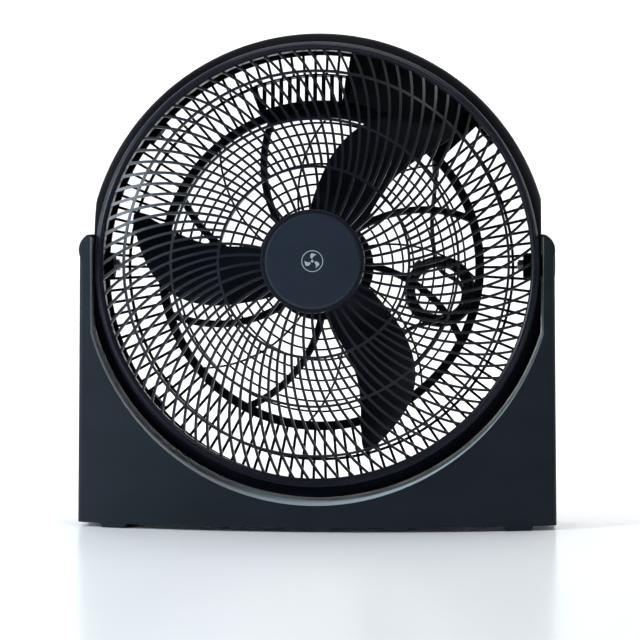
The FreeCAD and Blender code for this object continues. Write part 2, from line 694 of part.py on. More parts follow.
def make_handle():
    low = DRUM_REAR - 11
    high = low + GRIP_DEPTH - 3

    def point(radius, fwd):
        return V(radius, -fwd, 0)

    soft = 5.0
    profile = Part.Wire([
        line(point(GRIP_INNER, high), point(GRIP_INNER, low + soft)),
        arc(point(GRIP_INNER, low + soft), point(GRIP_INNER + 0.3 * soft, low + 0.3 * soft),
            point(GRIP_INNER + soft, low)),
        line(point(GRIP_INNER + soft, low), point(GRIP_OUTER - soft, low)),
        arc(point(GRIP_OUTER - soft, low), point(GRIP_OUTER - 0.3 * soft, low + 0.3 * soft),
            point(GRIP_OUTER, low + soft)),
        line(point(GRIP_OUTER, low + soft), point(GRIP_OUTER, high)),
        line(point(GRIP_OUTER, high), point(GRIP_INNER, high)),
    ])
    grip = Part.Face(profile).revolve(V(0, 0, 0), V(0, -1, 0), GRIP_TO - GRIP_FROM)
    return around(grip, GRIP_FROM)


def make_guard():
    """A slatted finger guard: a shallow box, open to the rear, behind which fingers reach over the grip."""
    plate_front = DRUM_REAR + REAR_PLATE
    front = plate_front + POCKET_DEPTH
    wall = 1.8
    low = POCKET_LOW
    high = POCKET_HIGH
    start = POCKET_FROM
    end = GRIP_TO - 0.3
    side = math.degrees(wall / low)
    guard = sector(low - wall, high + wall, start - side, end + side, plate_front, front)
    guard = guard.cut(sector(low, high, start, end, plate_front - 1, front - 3.5))
    gap = SLAT_PITCH - SLAT_WIDTH
    window = sector(low, high, start, end, front - 5, front + 1)
    count = int((POCKET_RIGHT_X - POCKET_LEFT_X) / SLAT_PITCH)
    gaps = []
    for index in range(count + 1):
        x = POCKET_LEFT_X + index * SLAT_PITCH
        gaps.append(block(x, x + gap, -front - 1, -front + 5, low - 40, high + 10))
    openings = window.common(Part.makeCompound(gaps))
    return guard.cut(openings)


def make_rear_grille():
    front = DRUM_REAR + REAR_PLATE
    plate_radius = DRUM_REAR_RADIUS - DRUM_WALL - CLEARANCE
    pitch = 360.0 / REAR_BARS
    cells = []
    bar = Straight()
    opening = plate_radius - REAR_BORDER
    zones = [(REAR_RING_OUTER + 0.6, POCKET_HIGH, HOLE_FROM, GRIP_TO),
             (REAR_THIN_RING + 1.5, opening, HOLE_FROM, HOLE_TO)]
    for low, high, skip_from, skip_to in zones:
        for index in range(REAR_BARS):
            start = index * pitch
            outer = high
            if high == opening and near_boss(start + pitch / 2, pitch):
                outer = drum_screw_radius() - BOSS_RADIUS
            if clear_of(start, start + pitch, skip_from, skip_to):
                cells.append(cell(bar, low, outer, start, start + pitch, REAR_BAR_WIDTH, REAR_BAR_WIDTH))
    cells.append(sector_wire(POCKET_LOW, POCKET_HIGH, POCKET_FROM, GRIP_TO - 0.3))
    cells.append(sector_wire(BOX_LOW - 0.2, BOX_HIGH + 0.2, HOLE_FROM, HOLE_TO))
    spoke = Swirl([(REAR_RING_INNER, 0.0), (128.0, 0.52 * SPOKE_CURL),
                   (HUB_PLATE_RADIUS, 1.07 * SPOKE_CURL)])
    step = 180.0 / SPOKES
    ring_radii = [REAR_RING_INNER - REAR_RING_PITCH * k for k in range(REAR_RINGS + 1)]
    ring_radii.append(HUB_PLATE_RADIUS)
    for zone in range(REAR_RINGS + 1):
        high = ring_radii[zone] - (REAR_RING_WIDTH / 2 if zone else 0.5)
        low = ring_radii[zone + 1] + (REAR_RING_WIDTH / 2 if zone < REAR_RINGS else 0.0)
        for index in range(2 * SPOKES):
            widths = (SPOKE_WIDTH, REAR_RING_WIDTH) if index % 2 == 0 else (REAR_RING_WIDTH, SPOKE_WIDTH)
            start = SPOKE_PHASE + index * step
            cells.append(cell(spoke, low, high, start, start + step, *widths))
    plate = plate_with_cells(plate_radius, cells, DRUM_REAR, front)
    flat = DRUM_FLAT_X - DRUM_WALL - CLEARANCE
    plate = plate.common(block(-flat, flat, -200, 200, -400, 400))
    ring = tube(REAR_RING_OUTER, REAR_RING_INNER, front + 3 - REAR_RING_DEPTH, front + 3)
    hub = turned([(HUB_PLATE_RADIUS + 1, DRUM_REAR - 3), (HUB_PLATE_RADIUS + 1, front),
                  (HUB_PLATE_RADIUS - 2, front), (HUB_PLATE_RADIUS - 2, DRUM_REAR - 3)])
    spokes = []
    for index in range(SPOKES):
        place = SPOKE_PHASE + 2 * index * step
        spokes.append(spoke_web(spoke, place))
    grille = plate.multiFuse([ring, hub] + spokes)
    screws = []
    for angle in boss_angles():
        place = polar(drum_screw_radius(), angle)
        screws.append(rod(SCREW_RADIUS + 0.3, DRUM_REAR - 1, front + 1, place.x, place.z))
    for place in motor_screw_places():
        screws.append(rod(SCREW_RADIUS + 0.3, DRUM_REAR - 1, front + 1, place.x, place.z))
    grip = make_handle()
    grille = grille.cut(Part.makeCompound(screws)).cut(grip)
    add("rear_grille", to_head(only_solid(grille)))
    add("handle_grip", to_head(grip))
    add("finger_guard", to_head(only_solid(make_guard())))


def spoke_web(spoke, place):
    """The deep web of one strong spoke, on the side of the blades."""
    low = HUB_PLATE_RADIUS - 1
    high = REAR_RING_INNER + 1
    middle = (low + high) / 2
    half = SPOKE_WIDTH / 2 - 1.2
    rows = []
    for radius in (low, middle, high):
        rows.append((radius, place + spoke.angle(radius, half), place + spoke.angle(radius, -half)))
    (r0, a0, b0), (r1, a1, b1), (r2, a2, b2) = rows
    outline = Part.Wire([
        arc(polar(r0, a0), polar(r1, a1), polar(r2, a2)),
        line(polar(r2, a2), polar(r2, b2)),
        arc(polar(r2, b2), polar(r1, b1), polar(r0, b0)),
        line(polar(r0, b0), polar(r0, a0)),
    ])
    web = Part.Face(outline).extrude(V(0, -8.0, 0))
    web.translate(V(0, -DRUM_REAR - 1, 0))
    return web


def motor_screw_places():
    return [polar(MOTOR_RADIUS - 9, 45 + 90 * index) for index in range(4)]


def make_grille_screws():
    front = DRUM_REAR + REAR_PLATE
    groups = {
        "drum_screws": [polar(drum_screw_radius(), angle) for angle in boss_angles()],
        "motor_screws": motor_screw_places(),
    }
    depth = {"drum_screws": 12.0, "motor_screws": MOTOR_WALL + 4}
    for name, places in groups.items():
        screws = []
        for place in places:
            shank = rod(SCREW_RADIUS, DRUM_REAR, front + depth[name], place.x, place.z)
            head = rod(HEAD_RADIUS, DRUM_REAR - HEAD_HEIGHT, DRUM_REAR, place.x, place.z)
            slot = block(place.x - 2.2, place.x + 2.2, -DRUM_REAR + 1.4, -DRUM_REAR + 9,
                         place.z - 0.4, place.z + 0.4)
            screws.append(fused([shank, head]).cut(slot))
        add(name, to_head(Part.makeCompound(screws)))


# ---------------------------------------------------------------- control box on the rear grille
def make_controls():
    knob_x = polar(KNOB_PLACE_RADIUS, KNOB_ANGLE).x
    knob_z = polar(KNOB_PLACE_RADIUS, KNOB_ANGLE).z
    side = math.degrees(BOX_WALL / BOX_LOW)
    box = sector(BOX_LOW, BOX_HIGH, BOX_FROM, BOX_TO, DRUM_REAR, BOX_FRONT)
    box = box.cut(sector(BOX_LOW + BOX_WALL, BOX_HIGH - BOX_WALL, BOX_FROM + side, BOX_TO - side,
                         DRUM_REAR - 1, BOX_FRONT - BOX_WALL))
    cover_rear = DRUM_REAR - COVER_THICKNESS
    cover = sector(BOX_LOW - 0.2, BOX_HIGH + 2, BOX_FROM - COVER_LIP, BOX_TO + COVER_LIP,
                   cover_rear, DRUM_REAR)
    bosses = []
    pilots = []
    passes = []
    screws = []
    for radius, angle in COVER_SCREWS:
        place = polar(radius, angle)
        bosses.append(rod(3.6, DRUM_REAR, BOX_FRONT - 1, place.x, place.z))
        pilots.append(rod(SCREW_RADIUS - 0.4, DRUM_REAR - 1, DRUM_REAR + 11, place.x, place.z))
        passes.append(rod(SCREW_RADIUS - 0.3, cover_rear - 1, DRUM_REAR + 1, place.x, place.z))
        screws.append(fused([
            rod(SCREW_RADIUS - 0.5, cover_rear, DRUM_REAR + 9, place.x, place.z),
            rod(HEAD_RADIUS - 0.6, cover_rear - 2, cover_rear, place.x, place.z),
        ]))
    inside = sector(BOX_LOW, BOX_HIGH, BOX_FROM, BOX_TO, DRUM_REAR, BOX_FRONT)
    box = box.multiFuse([boss.common(inside) for boss in bosses]).cut(Part.makeCompound(pilots))
    add("control_box", to_head(only_solid(box)))

    outlet = block(OUTLET_X - 9, OUTLET_X + 9, -CORD_FWD - 5.7, -CORD_FWD + 6, OUTLET_Z, OUTLET_Z + 18)
    bridge = block(OUTLET_X - 9, OUTLET_X + 9, -cover_rear - 1, -CORD_FWD - 5, OUTLET_Z, OUTLET_Z + 18)
    on_cover = sector(BOX_LOW, BOX_HIGH, BOX_FROM - COVER_LIP, BOX_TO, CORD_FWD, cover_rear + 1)
    cover = cover.multiFuse([outlet, bridge.common(on_cover)])
    passes.append(rod(5.1, cover_rear - 1, DRUM_REAR + 1, knob_x, knob_z))
    add("control_cover", to_head(only_solid(cover.cut(Part.makeCompound(passes)))))
    add("cover_screws", to_head(Part.makeCompound(screws)))

    switch = block(knob_x - 14, knob_x + 14, -DRUM_REAR - 16, -DRUM_REAR - 0.2, knob_z - 14, knob_z + 14)
    collar = rod(5, cover_rear, DRUM_REAR + 1, knob_x, knob_z)
    bore = rod(SWITCH_STEM + RUNNING_GAP, cover_rear - 1, DRUM_REAR + 12, knob_x, knob_z)
    add("rotary_switch", to_head(only_solid(fused([switch, collar]).cut(bore))))
    skirt = cover_rear - CLEARANCE
    rear = skirt - KNOB_HEIGHT
    knob = turned([(0, skirt), (KNOB_RADIUS, skirt), (KNOB_RADIUS, skirt - 3), (KNOB_RADIUS - 2, skirt - 5),
                   (KNOB_RADIUS - 3.5, rear + 3), (KNOB_RADIUS - 4.5, rear + 1.5), (0, rear + 1.5)])
    knob.translate(V(knob_x, 0, knob_z))
    half = KNOB_RADIUS - 2
    grip = block(knob_x - 3, knob_x + 3, -skirt + 1, -rear, knob_z - half, knob_z + half)
    stem = rod(SWITCH_STEM, skirt - 1, DRUM_REAR + 10, knob_x, knob_z)
    add("speed_knob", to_head(fused([knob, grip, stem])))

    half = CAPACITOR_WIDTH / 2
    capacitor = block(CAPACITOR_LOW, CAPACITOR_LOW + CAPACITOR_LENGTH, -DRUM_REAR - 2 - CAPACITOR_DEPTH,
                      -DRUM_REAR - 2, -half, half)
    add("run_capacitor", to_head(around(capacitor, CAPACITOR_ANGLE)))


# ---------------------------------------------------------------- motor, shaft and blades
def make_motor():
    rear = DRUM_REAR + REAR_PLATE
    core_rear = rear + SHELL_DEPTH
    core_front = core_rear + STATOR_LENGTH
    front = core_front + SHELL_DEPTH
    inside = MOTOR_RADIUS - MOTOR_WALL
    holder = BEARING_RADIUS + MOTOR_WALL
    vents = []
    for index in range(STATOR_SLOTS):
        vents.append(around(block(26, 38, -front - 1, -core_front - 4, -2, 2), 360 / STATOR_SLOTS * index))
    rear_shell = turned([(0, rear), (MOTOR_RADIUS - 3, rear), (MOTOR_RADIUS, rear + 3),
                         (MOTOR_RADIUS, core_rear), (inside, core_rear), (inside, rear + 4),
                         (inside - 2, rear + MOTOR_WALL), (holder, rear + MOTOR_WALL),
                         (holder, rear + MOTOR_WALL + BEARING_LENGTH),
                         (BEARING_RADIUS, rear + MOTOR_WALL + BEARING_LENGTH),
                         (BEARING_RADIUS, rear + MOTOR_WALL), (0, rear + MOTOR_WALL)])
    holes = [rod(SCREW_RADIUS, rear - 1, rear + 3, place.x, place.z) for place in motor_screw_places()]
    add("motor_rear_shell", to_head(rear_shell.cut(Part.makeCompound(holes))))
    face = front - MOTOR_WALL
    front_shell = turned([(SHAFT_RADIUS + 0.6, front), (MOTOR_RADIUS - 3, front), (MOTOR_RADIUS, front - 3),
                          (MOTOR_RADIUS, core_front), (inside, core_front), (inside, front - 4),
                          (inside - 2, face), (holder, face), (holder, face - BEARING_LENGTH),
                          (BEARING_RADIUS, face - BEARING_LENGTH), (BEARING_RADIUS, face),
                          (SHAFT_RADIUS + 0.6, face)])
    outside = tube(MOTOR_RADIUS + 1, 24, core_front - 1, front + 1)
    add("motor_front_shell", to_head(only_solid(front_shell.cut(Part.makeCompound(vents).common(outside)))))
    core = tube(MOTOR_RADIUS, STATOR_INNER, core_rear, core_front)
    slots = [around(block(STATOR_INNER + 3, WINDING_OUTER, -core_front - 1, -core_rear + 1, -2.6, 2.6),
                    360 / STATOR_SLOTS * (index + 0.5)) for index in range(STATOR_SLOTS)]
    add("stator_core", to_head(only_solid(core.cut(Part.makeCompound(slots)))))
    coils = [tube(WINDING_OUTER, WINDING_INNER, core_rear - WINDING_HEIGHT, core_rear),
             tube(WINDING_OUTER, WINDING_INNER, core_front, core_front + WINDING_HEIGHT)]
    add("stator_windings", to_head(Part.makeCompound(coils)))
    bore = SHAFT_RADIUS + RUNNING_GAP
    rear_bearing = tube(BEARING_RADIUS, bore, rear + MOTOR_WALL, rear + MOTOR_WALL + BEARING_LENGTH)
    front_bearing = tube(BEARING_RADIUS, bore, face - BEARING_LENGTH, face)
    add("bearing_rear", to_head(rear_bearing))
    add("bearing_front", to_head(front_bearing))
    add("motor_shaft", to_head(rod(SHAFT_RADIUS, rear + MOTOR_WALL + 1, SHAFT_FRONT)))
    add("rotor_core", to_head(tube(STATOR_INNER - AIR_GAP, SHAFT_RADIUS, core_rear, core_front)))


def blade_height(row, degrees):
    """Fwd of the blade's rear face on one row, at an angle from the blade's tip line."""
    _, lead, trail, low, high = row
    share = (degrees - lead) / max(trail - lead, 12.0)
    return low + (high - low) * share + BLADE_CAMBER * 4 * share * (1 - share)


def make_blade():
    grid = []
    for row in BLADE_ROWS + [(BLADE_TIP + 6,) + BLADE_ROWS[-1][1:]]:
        lead = row[1] - 4
        trail = max(row[2], row[1] + 12) + 4
        angles = [lead + (trail - lead) * step / 6 for step in range(7)]
        grid.append([polar(row[0] if row[0] > 39 else row[0] - 4, angle, blade_height(row, angle))
                     for angle in angles])
    surface = Part.BSplineSurface()
    surface.interpolate(grid)
    sheet = surface.toShape().extrude(V(0, -BLADE_THICKNESS, 0))
    leading = Part.BSplineCurve()
    leading.interpolate([polar(row[0], row[1]) for row in BLADE_ROWS] + [polar(BLADE_TIP, 0.4)])
    trailing = Part.BSplineCurve()
    trailing_points = [polar(row[0], row[2]) for row in reversed(BLADE_ROWS)]
    trailing.interpolate([polar(BLADE_TIP - 1.0, 2.2)] + trailing_points)
    edges = [
        leading.toShape(),
        line(polar(BLADE_TIP, 0.4), polar(BLADE_TIP - 1.0, 2.2)),
        trailing.toShape(),
        line(polar(BLADE_ROWS[0][0], BLADE_ROWS[0][2]), polar(BLADE_ROWS[0][0], BLADE_ROWS[0][1])),
    ]
    prism = Part.Face(Part.Wire(edges)).extrude(V(0, -120, 0))
    prism.translate(V(0, 60, 0))
    return only_solid(sheet.common(prism))


def make_blades():
    blade = around(make_blade(), BLADE_PHASE)
    bore = SHAFT_RADIUS
    hub = turned([(bore, HUB_REAR + 2), (9, HUB_REAR + 2), (9, HUB_FRONT - 3),
                  (BLADE_HUB - 2.6, HUB_FRONT - 3), (BLADE_HUB - 2.6, HUB_REAR), (BLADE_HUB, HUB_REAR),
                  (BLADE_HUB, HUB_FRONT - 5),
                  (BLADE_HUB - 1.5, HUB_FRONT - 1.5), (BLADE_HUB - 5, HUB_FRONT), (bore, HUB_FRONT)])
    blades = [around(blade, 360 / BLADES * index) for index in range(BLADES)]
    add("blade_set", to_head(only_solid(hub.multiFuse(blades))))
    nut = turned([(0, SHAFT_FRONT), (0, SHAFT_FRONT + 3), (5, SHAFT_FRONT + 3), (8, SHAFT_FRONT + 1.5),
                  (12, HUB_FRONT + 4), (12, HUB_FRONT), (bore, HUB_FRONT), (bore, SHAFT_FRONT)])
    add("blade_nut", to_head(nut))


# ---------------------------------------------------------------- cord, coil and plug
def cord_tube(places):
    """A tube of straight runs joined by tangent arcs."""
    points = [V(x, -CORD_FWD, z) for x, z in places]
    edges = []
    start = points[0]
    bends = []
    for index in range(1, len(points) - 1):
        before, corner, after = points[index - 1], points[index], points[index + 1]
        shorter = min((corner - before).Length, (after - corner).Length)
        reach = 0.45 * shorter
        into = (corner - before).normalize()
        out = (after - corner).normalize()
        half_turn = into.getAngle(out) / 2
        bends.append(reach / math.tan(half_turn))
        arc_start = corner - into * reach
        arc_end = corner + out * reach
        centre = arc_start + (out - into * math.cos(2 * half_turn)).normalize() * bends[-1]
        crown = centre + (corner - centre).normalize() * bends[-1]
        edges.append(line(start, arc_start))
        edges.append(arc(arc_start, crown, arc_end))
        start = arc_end
    edges.append(line(start, points[-1]))
    route = Part.Wire(edges)
    length = route.Length
    first = (points[1] - points[0]).normalize()
    section = Part.Wire(Part.Circle(points[0], first, CORD_DIAMETER / 2).toShape())
    solid = route.makePipeShell([section], True, False)
    expected = math.pi * CORD_DIAMETER ** 2 / 4 * length
    print("cord bends", [round(bend, 1) for bend in bends], "length", round(length, 1),
          "volume", round(solid.Volume), "expected", round(expected))
    return solid


def coil_solid(grow, degrees_from=0.0, degrees_to=360.0):
    """The outer form of the bundle of turns, or one stretch of it, grown all round."""
    ellipse = Part.Ellipse(V(0, 0, 0), COIL_HALF_WIDTH + grow, COIL_HALF_DEPTH + grow).toShape()
    face = Part.Face(Part.Wire(ellipse))
    face.translate(V(COIL_RADIUS, 0, 0))
    solid = face.revolve(V(0, 0, 0), V(0, -1, 0), degrees_to - degrees_from)
    solid.rotate(V(0, 0, 0), V(0, -1, 0), degrees_from)
    solid.translate(V(COIL_CENTRE[0], -CORD_FWD, COIL_CENTRE[1]))
    return solid


def down_cone(x, z_top, top_radius, low_radius, length):
    cone = Part.makeCone(low_radius, top_radius, length, V(x, -CORD_FWD, z_top - length), V(0, 0, 1))
    return cone


def make_cord():
    gland_top = OUTLET_Z
    gland = down_cone(OUTLET_X, gland_top, 5.4, 3.6, GLAND_LENGTH)
    ribs = []
    for index in range(4):
        z = gland_top - 7 - 5.6 * index
        outer = 5.4 - 0.35 * (index + 1.2)
        ribs.append(Part.makeCylinder(outer + 0.3, 2.4, V(OUTLET_X, -CORD_FWD, z - 2.4), V(0, 0, 1)))
    gland = only_solid(fused([gland] + ribs))
    x, z = CORD_TAIL[-1]
    relief = down_cone(x, z, 3.4, 5.4, RELIEF_LENGTH)
    coil = coil_solid(0)
    lead = only_solid(cord_tube(CORD_LEAD).cut(coil).cut(gland))
    tail = only_solid(cord_tube(CORD_TAIL).cut(coil).cut(relief))
    add("cord_gland", to_head(gland))
    add("cord_lead", to_head(lead))
    add("cord_tail", to_head(tail))
    add("cord_coil", to_head(coil))
    tie = coil_solid(1.1, TIE_ANGLE - TIE_SPAN / 2, TIE_ANGLE + TIE_SPAN / 2).cut(coil)
    add("cord_tie", to_head(only_solid(tie)))
    body_top = z - RELIEF_LENGTH
    body_low = body_top - PLUG_LENGTH
    half = PLUG_WIDTH / 2
    outline = Part.makePolygon([V(x - half + 4, 0, body_top), V(x + half - 4, 0, body_top),
                                V(x + half, 0, body_top - 8), V(x + half, 0, body_low),
                                V(x - half, 0, body_low), V(x - half, 0, body_top - 8),
                                V(x - half + 4, 0, body_top)])
    body = Part.Face(outline).extrude(V(0, PLUG_DEPTH, 0))
    body.translate(V(0, -CORD_FWD - PLUG_DEPTH / 2, 0))
    long_edges = [edge for edge in body.Edges if edge.BoundBox.YLength > PLUG_DEPTH - 0.1]
    body = body.makeFillet(2.2, long_edges)
    add("plug_body", to_head(only_solid(fused([body, relief]))))
    pins = []
    for side in (-1, 1):
        middle = x + side * PIN_PITCH / 2
        pins.append(block(middle - 0.75, middle + 0.75, -CORD_FWD - 3.2, -CORD_FWD + 3.2,
                          body_low - PIN_LENGTH, body_low))
    add("plug_pins", to_head(Part.makeCompound(pins)))


# ---------------------------------------------------------------- all of it
make_stand()
make_liner()
make_feet_and_screws()
make_pivots()
make_drum()
make_front_grille()
make_rear_grille()
make_grille_screws()
make_controls()
make_motor()
make_blades()
make_cord()

os.makedirs("parts", exist_ok=True)
for name, shape in parts.items():
    shape.exportStep("parts/" + name + ".step")
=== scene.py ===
"""Looks of the pivoting floor fan: camera, studio, cord, materials and surface detail over the CAD frame."""
import bpy
import bmesh
import json
import math
from mathutils import Matrix, Vector


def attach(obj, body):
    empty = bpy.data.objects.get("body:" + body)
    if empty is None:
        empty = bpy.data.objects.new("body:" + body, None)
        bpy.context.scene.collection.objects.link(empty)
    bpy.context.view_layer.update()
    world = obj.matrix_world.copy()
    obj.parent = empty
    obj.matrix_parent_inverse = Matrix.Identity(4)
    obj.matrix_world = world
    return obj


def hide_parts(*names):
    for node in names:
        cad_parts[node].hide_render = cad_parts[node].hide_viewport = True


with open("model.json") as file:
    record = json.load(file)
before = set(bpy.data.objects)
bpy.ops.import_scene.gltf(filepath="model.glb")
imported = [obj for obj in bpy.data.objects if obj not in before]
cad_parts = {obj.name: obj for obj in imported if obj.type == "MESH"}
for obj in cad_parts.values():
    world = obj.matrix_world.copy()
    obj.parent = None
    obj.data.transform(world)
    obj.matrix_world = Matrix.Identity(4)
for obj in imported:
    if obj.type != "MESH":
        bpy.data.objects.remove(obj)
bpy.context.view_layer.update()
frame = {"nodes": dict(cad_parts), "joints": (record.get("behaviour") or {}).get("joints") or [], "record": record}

# ---------------------------------------------------------------- places taken from the frame
TILT = next(joint for joint in frame["joints"] if joint["name"] == "head_tilt")
PIVOT = Vector(TILT["pos_m"])
SPIN = next(joint for joint in frame["joints"] if joint["name"] == "blade_spin")
AXIS = -Vector(SPIN["axis"]).normalized()         # the head's own axis, towards the rear
LEAN = math.atan2(AXIS.z, AXIS.y)                 # negative: the head leans back
MM = 0.001


def head_point(x, forward, z):
    """From millimetres about the head's pivot, as the head stands at rest, to metres in the scene."""
    turned = Matrix.Rotation(LEAN, 3, "X") @ Vector((x, -forward, z))
    return PIVOT + turned * MM


def new_object(name, data):
    obj = bpy.data.objects.new(name, data)
    bpy.context.scene.collection.objects.link(obj)
    return obj


def object_from_bmesh(name, bm):
    mesh = bpy.data.meshes.new(name)
    bm.to_mesh(mesh)
    bm.free()
    return new_object(name, mesh)


# ---------------------------------------------------------------- camera and studio
CAMERA_DISTANCE = 2.80
CAMERA_RIGHT = 3.6            # degrees round from the front
CAMERA_ABOVE = 1.3
CAMERA_LENS = 135.0
CAMERA_SENSOR = 36.0
CAMERA_AIM = Vector((0.0023, 0, -0.064))      # from the head's pivot


def make_camera():
    data = bpy.data.cameras.new("camera")
    data.lens = CAMERA_LENS
    data.sensor_width = CAMERA_SENSOR
    camera = new_object("camera", data)
    right = math.radians(CAMERA_RIGHT)
    above = math.radians(CAMERA_ABOVE)
    offset = Vector((math.sin(right) * math.cos(above), -math.cos(right) * math.cos(above), math.sin(above)))
    camera.location = PIVOT + offset * CAMERA_DISTANCE
    camera.rotation_euler = (PIVOT + CAMERA_AIM - camera.location).to_track_quat("-Z", "Y").to_euler()
    bpy.context.scene.camera = camera


# The floor's section behind the fan, from the middle out: distance and height. The rise is less at
# the sides, and in front there is none.
FLOOR_PROFILE = [(0.0, 0.0), (2.2, 0.0), (3.4, 0.0), (3.9, 0.08), (4.25, 0.3), (4.4, 0.65),
                 (4.45, 1.2), (4.45, 4.5)]
FLOOR_STEPS = 64


def make_floor():
    """A pale floor that sweeps up into a pale wall behind."""
    bm = bmesh.new()
    rings = []
    for radius, height in FLOOR_PROFILE:
        ring = []
        for k in range(FLOOR_STEPS + 1):
            angle = 2 * math.pi * k / FLOOR_STEPS
            rise = height * (0.5 + 0.5 * math.sin(angle)) ** 0.7
            ring.append(bm.verts.new((radius * math.cos(angle), radius * math.sin(angle), rise)))
        rings.append(ring)
    for inner, outer in zip(rings, rings[1:]):
        for k in range(FLOOR_STEPS):
            bm.faces.new((inner[k], inner[k + 1], outer[k + 1], outer[k]))
    bmesh.ops.remove_doubles(bm, verts=bm.verts, dist=1e-5)
    for face in bm.faces:
        face.smooth = True
    floor = object_from_bmesh("studio_floor", bm)
    material = bpy.data.materials.new("studio_floor")
    material.use_nodes = True
    shader = material.node_tree.nodes["Principled BSDF"]
    shader.inputs["Base Color"].default_value = (0.93, 0.93, 0.93, 1)
    shader.inputs["Roughness"].default_value = 0.25
    shader.inputs["Specular IOR Level"].default_value = 0.05
    floor.data.materials.append(material)


def area_light(name, place, aim, size, watts, colour=(1, 1, 1), size_y=None):
    data = bpy.data.lights.new(name, "AREA")
    data.energy = watts
    data.color = colour
    data.size = size
    if size_y:
        data.shape = "RECTANGLE"
        data.size_y = size_y
    light = new_object(name, data)
    light.location = place
    light.rotation_euler = (Vector(aim) - Vector(place)).to_track_quat("-Z", "Y").to_euler()


def make_lights():
    """A cool key from the left, weak fills, and light for the pale floor and wall."""
    world = bpy.data.worlds.new("studio")
    bpy.context.scene.world = world
    world.use_nodes = True
    background = world.node_tree.nodes["Background"]
    background.inputs["Color"].default_value = (1, 1, 1, 1)
    background.inputs["Strength"].default_value = 0.05
    fan = (0, 0, 0.3)
    area_light("key", (-2.7, -1.5, 1.35), fan, 0.8, 92, (0.74, 0.89, 1.0))
    area_light("left_strip", (-2.3, 0.1, 0.9), fan, 0.3, 12, (0.90, 0.95, 1.0), 1.6)
    area_light("upper_right", (1.1, -1.2, 2.4), (0, 0, 0.1), 0.5, 14)
    area_light("right_rear", (2.2, 1.0, 1.2), fan, 0.5, 8, (0.92, 0.90, 1.0), 1.6)
    area_light("back_wall", (0, 1.9, 2.6), (0, 4.2, 0.5), 2.6, 82)
    area_light("floor_wash", (0, 0.6, 3.4), (0, 0.9, 0), 3.0, 52)
    bpy.context.scene.view_settings.view_transform = "Standard"


# ---------------------------------------------------------------- materials
class Nodes:
    """Short calls for building one material's node tree."""

    def __init__(self, name):
        self.material = bpy.data.materials.new(name)
        self.material.use_nodes = True
        self.tree = self.material.node_tree
        self.shader = self.tree.nodes["Principled BSDF"]
        self.place = self.add("ShaderNodeTexCoord").outputs["Object"]

    def add(self, kind, **values):
        node = self.tree.nodes.new(kind)
        for key, value in values.items():
            setattr(node, key, value)
        return node

    def link(self, out, into):
        self.tree.links.new(out, into)

    def noise(self, scale, detail=4.0, roughness=0.55, distortion=0.0, stretch=None):
        node = self.add("ShaderNodeTexNoise")
        node.inputs["Scale"].default_value = scale
        node.inputs["Detail"].default_value = detail
        node.inputs["Roughness"].default_value = roughness
        node.inputs["Distortion"].default_value = distortion
        source = self.place
        if stretch:
            mapping = self.add("ShaderNodeMapping")
            mapping.inputs["Scale"].default_value = stretch
            self.link(source, mapping.inputs["Vector"])
            source = mapping.outputs["Vector"]
        self.link(source, node.inputs["Vector"])
        return node.outputs["Fac"]

    def span(self, value, low, high, from_low=0.3, from_high=0.7):
        node = self.add("ShaderNodeMapRange")
        node.inputs["From Min"].default_value = from_low
        node.inputs["From Max"].default_value = from_high
        node.inputs["To Min"].default_value = low
        node.inputs["To Max"].default_value = high
        self.link(value, node.inputs["Value"])
        return node.outputs["Result"]

    def mix(self, factor, first, second):
        node = self.add("ShaderNodeMix", data_type="RGBA")
        self.link(factor, node.inputs["Factor"])
        node.inputs[6].default_value = (*first, 1)
        node.inputs[7].default_value = (*second, 1)
        return node.outputs[2]

    def bump(self, height, strength, distance, before=None):
        node = self.add("ShaderNodeBump")
        node.inputs["Strength"].default_value = strength
        node.inputs["Distance"].default_value = distance
        self.link(height, node.inputs["Height"])
        if before is not None:
            self.link(before, node.inputs["Normal"])
        return node.outputs["Normal"]


def linear(colour):
    """From screen values, 0 to 255, to the linear values that shaders take."""
    return tuple((c / 255 / 12.92) if c <= 10 else ((c / 255 + 0.055) / 1.055) ** 2.4 for c in colour)


def plastic(name, colour, rough, grain, coat=0.0, shine=0.2, spread=0.12, coat_rough=0.16):
    """Moulded plastic: fine spark-eroded grain, faint flow marks, and a sheen that varies over the part."""
    n = Nodes(name)
    base = linear(colour)
    darker = tuple(c * (1 - spread) for c in base)
    lighter = tuple(min(1.0, c * (1 + spread) + 0.002) for c in base)
    flow = n.noise(9.0, 3.0, 0.5, 0.4, (1.0, 1.0, 2.2))
    n.link(n.mix(n.span(flow, 0, 1), darker, lighter), n.shader.inputs["Base Color"])
    smudge = n.noise(26.0, 5.0, 0.6)
    n.link(n.span(smudge, rough - 0.06, rough + 0.07), n.shader.inputs["Roughness"])
    fine = n.noise(1400.0, 2.0, 0.6)
    wave = n.noise(40.0, 2.0, 0.5)
    normal = n.bump(wave, 0.06, 0.0015)
    n.link(n.bump(fine, grain, 0.0001, normal), n.shader.inputs["Normal"])
    n.shader.inputs["Specular IOR Level"].default_value = shine
    n.shader.inputs["Coat Weight"].default_value = coat
    n.shader.inputs["Coat Roughness"].default_value = coat_rough
    return n.material


def metal(name, colour, rough, brushed=(1, 1, 1), coarse=0.25):
    """Plated or cut metal with fine scratches along one direction and a little tarnish."""
    n = Nodes(name)
    base = linear(colour)
    darker = tuple(c * 0.78 for c in base)
    tarnish = n.noise(60.0, 4.0, 0.6)
    n.link(n.mix(n.span(tarnish, 0, 1), darker, base), n.shader.inputs["Base Color"])
    n.shader.inputs["Metallic"].default_value = 1.0
    scratch = n.noise(900.0, 3.0, 0.6, 0.0, brushed)
    n.link(n.span(scratch, rough - 0.08, rough + 0.1), n.shader.inputs["Roughness"])
    n.link(n.bump(scratch, coarse, 0.00012), n.shader.inputs["Normal"])
    return n.material


